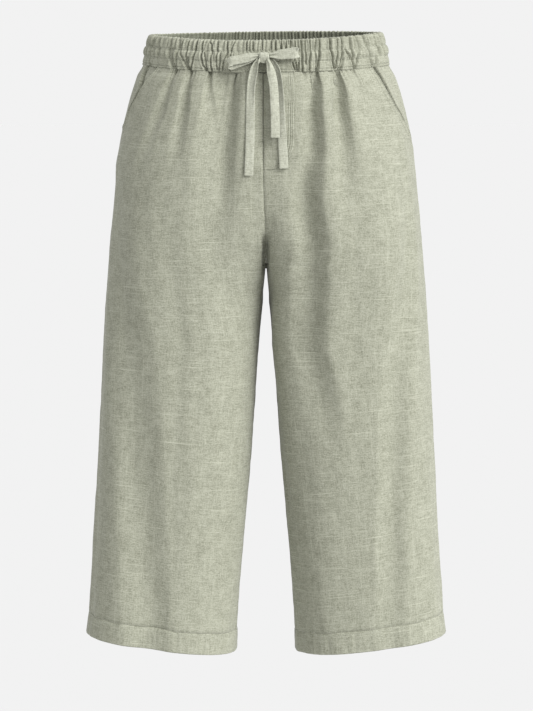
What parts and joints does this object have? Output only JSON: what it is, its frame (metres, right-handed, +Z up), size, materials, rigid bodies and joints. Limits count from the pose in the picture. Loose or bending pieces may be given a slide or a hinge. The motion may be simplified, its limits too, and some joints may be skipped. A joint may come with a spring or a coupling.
{
  "type": "cropped wide-leg linen trousers",
  "caption": "Cropped wide-leg linen trousers, filled out as worn, with a gathered drawstring waist, slant side pockets, a mock fly and turned-up hems.",
  "frame": {"origin": "centre of the waist opening, half way up the elastic waistband, where the wearer holds the garment", "axes": "+Z up towards the waist, the front faces -Y, +X towards the wearer's left leg"},
  "size_m": [0.4722, 0.2602, 0.8043],
  "materials": {
    "linen": "matte slubbed linen, heathered sage green",
    "tape": "matte flat linen tape, the same sage green"
  },
  "bodies": {
    "root": {"front_panel_right": "linen", "back_panel_right": "linen", "pocket_facing_right": "linen", "hem_right": "linen", "front_panel_left": "linen", "back_panel_left": "linen", "pocket_facing_left": "linen", "hem_left": "linen", "waistband": "linen", "fly": "linen", "drawstring_knot": "tape", "bow_loop_right": "tape", "bow_loop_left": "tape", "drawstring_end_right": "tape", "drawstring_end_middle": "tape", "drawstring_end_left": "tape", "drawstring_lead_right": "tape", "drawstring_lead_left": "tape"}
  },
  "joints": []
}
